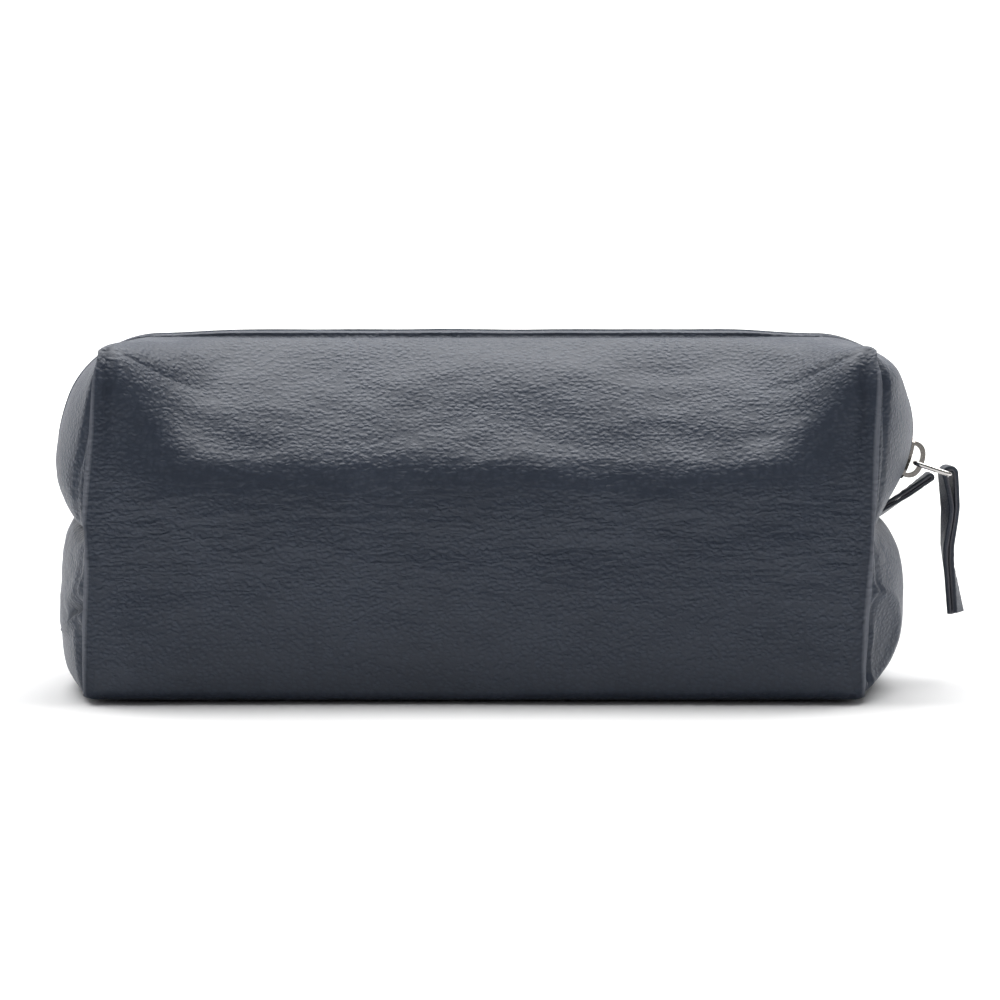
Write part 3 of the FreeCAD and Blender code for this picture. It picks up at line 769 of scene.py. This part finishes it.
def leather_material(name, base, light, edge, grain_size, depth, rough):
    """Pebbled leather: rounded cells with fine creases between, and a paler colour where marked: a painted
    highlight on the seam beads, and the core at a strap's cut edges.
    """
    mat, tree, shader = material(name, base, rough, Sheen_Weight=0.05, Sheen_Roughness=0.4)
    shader.inputs["Sheen Tint"].default_value = (0.75, 0.8, 0.95, 1)
    shader.inputs["Specular IOR Level"].default_value = 0.42
    place = scaled_place(tree, 1)
    bend = noise_node(tree, place, 0.35, 3.0).outputs["Color"]
    bent = vector_maths(tree, "MULTIPLY_ADD", bend, (1.6, 1.6, 1.6), place)
    long = vector_maths(tree, "MULTIPLY", bent, (0.78, 0.9, 1.15))
    cell_links = [("Vector", long), ("Scale", 1 / grain_size), ("Randomness", 0.85)]
    cells = node(tree, "ShaderNodeTexVoronoi", cell_links, feature="F1").outputs["Distance"]
    pebble = ramp(tree, cells, 0.72, 0.08, interpolation_type="SMOOTHSTEP")
    small = node(tree, "ShaderNodeTexVoronoi", [("Vector", bent), ("Scale", 2.1 / grain_size)],
                 feature="SMOOTH_F1").outputs["Distance"]
    fine = noise_node(tree, place, 3.2, 4.0).outputs[0]
    drift = noise_node(tree, place, 0.035, 2.0).outputs[0]
    strength = ramp(tree, drift, 0.3, 0.7, 0.7, 1.15)
    # stretched creases, strongest across the middle of the height
    stretched = vector_maths(tree, "MULTIPLY", bent, (0.1, 0.16, 0.42))
    crease = noise_node(tree, stretched, 1.0, 2.5, 0.5).outputs[0]
    height_on_bag = node(tree, "ShaderNodeSeparateXYZ", [(0, place)]).outputs[2]
    low = ramp(tree, height_on_bag, 28.0, 48.0)
    high = ramp(tree, height_on_bag, 68.0, 86.0, 1.0, 0.1)
    band = maths(tree, "MULTIPLY", low, high)
    band = maths(tree, "MULTIPLY_ADD", band, 1.5, 0.25)
    creased = maths(tree, "MULTIPLY", crease, band)
    mixed = maths(tree, "MULTIPLY_ADD", small, -0.3, pebble)
    mixed = maths(tree, "MULTIPLY_ADD", fine, 0.3, mixed)
    grain = maths(tree, "MULTIPLY", mixed, strength)
    bump(tree, shader, maths(tree, "MULTIPLY_ADD", creased, 2.2, grain), depth)
    tone = maths(tree, "MULTIPLY_ADD", pebble, 0.45, drift)
    colour = mixed_colour(tree, ramp(tree, tone, 0.35, 1.15), (*base, 1), (*light, 1))
    # the marked places take the paler colour: a painted highlight on the seam beads, the core on the strap
    # edges
    painted_highlight_and_core = node(tree, "ShaderNodeAttribute", attribute_name="painted_highlight_and_core").outputs["Fac"]
    tree.links.new(mixed_colour(tree, painted_highlight_and_core, colour, (*edge, 1)), shader.inputs["Base Color"])
    tree.links.new(ramp(tree, fine, 0.3, 0.75, rough - 0.06, rough + 0.1), shader.inputs["Roughness"])
    return mat


def cloth_material(name, base, light, pitch):
    """A plain weave: threads over and under at a pitch in mm."""
    mat, tree, shader = material(name, base, 0.85, Sheen_Weight=0.3)
    place = scaled_place(tree, pitch)
    weave = node(tree, "ShaderNodeTexChecker", [("Vector", place), ("Scale", 1.0)]).outputs["Fac"]
    fuzz = noise_node(tree, place, 1.3, 4.0).outputs[0]
    bump(tree, shader, maths(tree, "MULTIPLY_ADD", fuzz, 0.8, weave), 0.08)
    tree.links.new(mixed_colour(tree, fuzz, (*base, 1), (*light, 1)), shader.inputs["Base Color"])
    return mat


def nickel_material(name, colour):
    """Polished nickel with faint drag marks and duller patches."""
    mat, tree, shader = material(name, colour, 0.16, Metallic=1.0)
    marks = noise_node(tree, scaled_place(tree, 1), 1.4, 6.0).outputs[0]
    tree.links.new(ramp(tree, marks, 0.35, 0.75, 0.1, 0.3), shader.inputs["Roughness"])
    bump(tree, shader, marks, 0.02, 0.4)
    return mat


NAVY = (0.021, 0.029, 0.047)
NAVY_LIGHT = (0.035, 0.046, 0.07)
# the seam beads' paler colour is a painted highlight
BEAD_HIGHLIGHT_PAINTED = (0.13, 0.142, 0.172)
leather = leather_material("navy pebbled leather", NAVY, NAVY_LIGHT, BEAD_HIGHLIGHT_PAINTED, grain_size=1.55, depth=0.17,
                           rough=0.46)
strap_leather = leather_material("navy strap leather", (0.018, 0.024, 0.038), (0.034, 0.042, 0.06),
                                 (0.085, 0.085, 0.1), grain_size=0.8, depth=0.07, rough=0.5)
nickel = nickel_material("polished nickel", (0.6, 0.58, 0.56))
# a darker copy of the nickel: the slider's dark reflections painted into its colour
slider_nickel_painted_dark = nickel_material("polished nickel darkened for painted dark reflections", (0.3, 0.28, 0.26))
tape_cloth = cloth_material("woven zip tape", (0.012, 0.016, 0.026), (0.03, 0.037, 0.055), pitch=0.5)
lining_cloth = cloth_material("woven lining", (0.02, 0.024, 0.035), (0.045, 0.05, 0.065), pitch=0.4)
wadding = cloth_material("felted wadding", (0.55, 0.53, 0.49), (0.75, 0.73, 0.69), pitch=1.7)
board_grey = cloth_material("bag board", (0.05, 0.05, 0.055), (0.09, 0.09, 0.1), pitch=0.9)
thread = cloth_material("navy thread", (0.012, 0.016, 0.028), (0.04, 0.05, 0.075), pitch=0.25)


def dress(obj, mat, body, slot, *nodes):
    """Gives a piece its material and its body, and hides the nodes that it stands for. Its slot is not used.
    """
    obj.data.materials.clear()
    obj.data.materials.append(mat)
    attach(obj, body)
    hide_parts(*nodes)


# each half has unevenness of its own, and the back's top corners hang lower
for half, y_sign, seed, ear_drop in (("front", -1, 5.0, 0.0), ("back", 1, 27.0, 2.2)):
    skin, surface = leather_half(f"{half}_panel_leather", y_sign, seed, ear_drop)
    dress(skin, leather, "bag", "leather", f"{half}_panel")
    pad = inner_half(f"padding_{half}_wadding", y_sign, seed, ear_drop, depth=2.7, thickness=1.2, stop_y=16.5,
                     stop_seam=5.0)
    dress(pad, wadding, "bag", "padding", f"padding_{half}")
    cloth = inner_half(f"lining_{half}_cloth", y_sign, seed, ear_drop, depth=4.8, thickness=0.5, stop_y=9.5)
    dress(cloth, lining_cloth, "bag", "lining", f"lining_{half}")
    tape = zip_strip(f"zip_tape_{half}_cloth", y_sign)
    dress(tape, tape_cloth, "bag", "zip_tape", f"zip_tape_{half}")
    places = lip_places(surface, y_sign, pitch=3.1, reach=190)
    lip = stitches(f"lip_stitches_{half}_thread", places, length=2.5)
    dress(lip, thread, "bag", "thread", f"lip_stitches_{half}")

# the pull hangs from the ring's far bar, and curves and turns a little on its way down
BAR_DROP = 3.03            # from the top of the pull to the middle of the bar
pull_low, pull_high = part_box("pull_strap")
BAR = ((pull_low[0] + pull_high[0]) / 2 / MM, pull_high[2] / MM - BAR_DROP)
pull = Folded(
    BAR, (0, -1), (1, 0), length=BAR[1] - pull_low[2] / MM, half_width=4.0, thick=1.9,
    spread=by_distance((0, 1.95), (3, 1.75), (8, 1.3), (13, 1.02), (18, 0.97), (60, 0.97)),
    twist=by_distance((0, 0.1), (5, 0.2), (11, 0.3), (16, 0.24), (26, 0.0), (34, -0.14), (48.5, -0.46)),
    sag=by_distance((0, -0.1), (6, 0.4), (12, 0.8), (18, 0.4), (25, -0.1), (31, 0.3), (37, 1.3), (48.5, 3.1)))
dress(pull.mesh("pull_strap_leather"), strap_leather, "pull", "pull_leather", "pull_strap")
pull_rows = pull.rows(first=10, count=12, pitch=3.0, inset=1.1)
pull_thread = stitches("pull_stitches_thread", pull_rows, length=2.2, sink=0.12)
dress(pull_thread, thread, "pull", "thread", "pull_stitches")

# the tab is folded at its tip, and its ends go into the seam between the lobes
TAB_START = (132.5, 56.8)
TAB_SLOPE = math.radians(34)
TAB_LENGTH = 25.6          # from the seam to the tip
TAB_SEWN = 4               # the part inside the seam
tab_out = (math.cos(TAB_SLOPE), math.sin(TAB_SLOPE))
tip = (TAB_START[0] + TAB_LENGTH * tab_out[0], TAB_START[1] + TAB_LENGTH * tab_out[1])
tab = Folded(
    tip, (-tab_out[0], -tab_out[1]), (-tab_out[1], tab_out[0]), length=TAB_LENGTH + TAB_SEWN, half_width=5.4,
    thick=1.36,
    spread=by_distance((0, 0.8), (3, 0.74), (60, 0.71)),
    twist=by_distance((0, 0.02), (10, 0.1), (20, 0.22), (30, 0.2)),
    sag=by_distance((0, 0.0), (9, -0.5), (18, -0.4), (30, 0.0)))
dress(tab.mesh("end_tab_leather"), strap_leather, "tab", "pull_leather", "end_tab")
tab_rows = tab.rows(first=4, count=5, pitch=3.1, inset=1.3)
tab_thread = stitches("tab_stitches_thread", tab_rows, length=2.2, sink=0.14)
dress(tab_thread, thread, "tab", "thread", "tab_stitches")

# hard pieces: the CAD node, its body, and the width of its rounded edges
for cad_node, body, width in [
        ("zip_teeth_front", "bag", 0.2), ("zip_teeth_back", "bag", 0.2), ("zip_top_stops", "bag", 0.3),
        ("zip_bottom_stop", "bag", 0.3), ("slider_body", "slider", 0.35), ("slider_bail", "slider", 0.35),
        ("pull_ring", "ring", 0.1)]:
    metal = softened(f"{cad_node}_nickel", cad_node, width)
    # the slider takes the darkened nickel, its dark reflections painted in
    dress(metal, slider_nickel_painted_dark if body == "slider" else nickel, body, "nickel", cad_node)
board = softened("base_board_sheet", "base_board", 0.4)
dress(board, board_grey, "bag", "board", "base_board")


# ---------------------------------------------------------------- studio
ROOM_FRONT = 0.12          # brightness of the room on the camera's side
ROOM_BACK = 0.65
# name, place, aim, size and watts of each soft lamp
LAMPS = [("overhead", (0.0, 0.24, 1.0), (0, 0, 0.05), (1.8, 0.8), 26),
         ("front_fill", (-0.3, -1.7, 0.5), (0, 0, 0.06), (1.2, 0.8), 1.1),
         ("right_side", (1.2, 0.7, 0.35), (0.1, 0, 0.06), (0.6, 0.8), 1.0),
         ("left_side", (-1.2, 0.7, 0.35), (-0.1, 0, 0.06), (0.6, 0.8), 1.0)]


def studio():
    """White paper that curves up behind, a pale room that is dimmer on the camera's side, and soft lamps."""
    scene = bpy.context.scene
    scene.view_settings.view_transform = "Standard"
    world = bpy.data.worlds.new("studio")
    world.use_nodes = True
    tree = world.node_tree
    where = node(tree, "ShaderNodeTexCoord").outputs["Generated"]
    y = node(tree, "ShaderNodeSeparateXYZ", [(0, where)]).outputs[1]
    tree.links.new(ramp(tree, y, 0.2, 0.95, ROOM_FRONT, ROOM_BACK), tree.nodes["Background"].inputs[1])
    tree.nodes["Background"].inputs[0].default_value = (1, 1, 1, 1)
    scene.world = world

    # (Y, Z) of the paper in metres, and how much it glows
    turn = 0.6
    back = 0.8
    angles = np.linspace(0, math.pi / 2, 16)
    curve = [(back + turn * math.sin(u), turn * (1 - math.cos(u))) for u in angles] + [(back + turn, 2.2)]
    floor = [(-1.6, 0.0), (back, 0.0)]
    for name, profile, glow in (("studio_floor", floor, 0.0), ("studio_backdrop", curve, 0.6)):
        points = [(x, y * 1000, z * 1000) for x in (-2500, 2500) for y, z in profile]
        paper = make_mesh(name, points, grid_faces(2, len(profile)))
        mat, _, shader = material(name.replace("_", " "), (0.9, 0.9, 0.9), 0.9)
        shader.inputs["Emission Color"].default_value = (1, 1, 1, 1)
        shader.inputs["Emission Strength"].default_value = glow
        paper.data.materials.append(mat)

    for name, place, aim, size, watts in LAMPS:
        data = bpy.data.lights.new(name, "AREA")
        data.shape = "RECTANGLE"
        data.size, data.size_y = size
        data.energy = watts
        lamp = bpy.data.objects.new(name, data)
        lamp.location = place
        lamp.rotation_euler = (Vector(aim) - Vector(place)).to_track_quat("-Z", "Y").to_euler()
        scene.collection.objects.link(lamp)


def photo_camera():
    """A long lens a little above the bag, square to its front."""
    data = bpy.data.cameras.new("camera")
    data.sensor_width = 36     # mm
    data.lens = 126            # mm
    data.clip_end = 20
    camera = bpy.data.objects.new("camera", data)
    bpy.context.scene.collection.objects.link(camera)
    tilt = math.radians(5.0)
    distance = 1.207
    aim = Vector((0.0059, 0, 0.063))
    camera.location = aim + distance * Vector((0, -math.cos(tilt), math.sin(tilt)))
    camera.rotation_euler = (math.pi / 2 - tilt, 0, 0)
    bpy.context.scene.camera = camera


photo_camera()
studio()
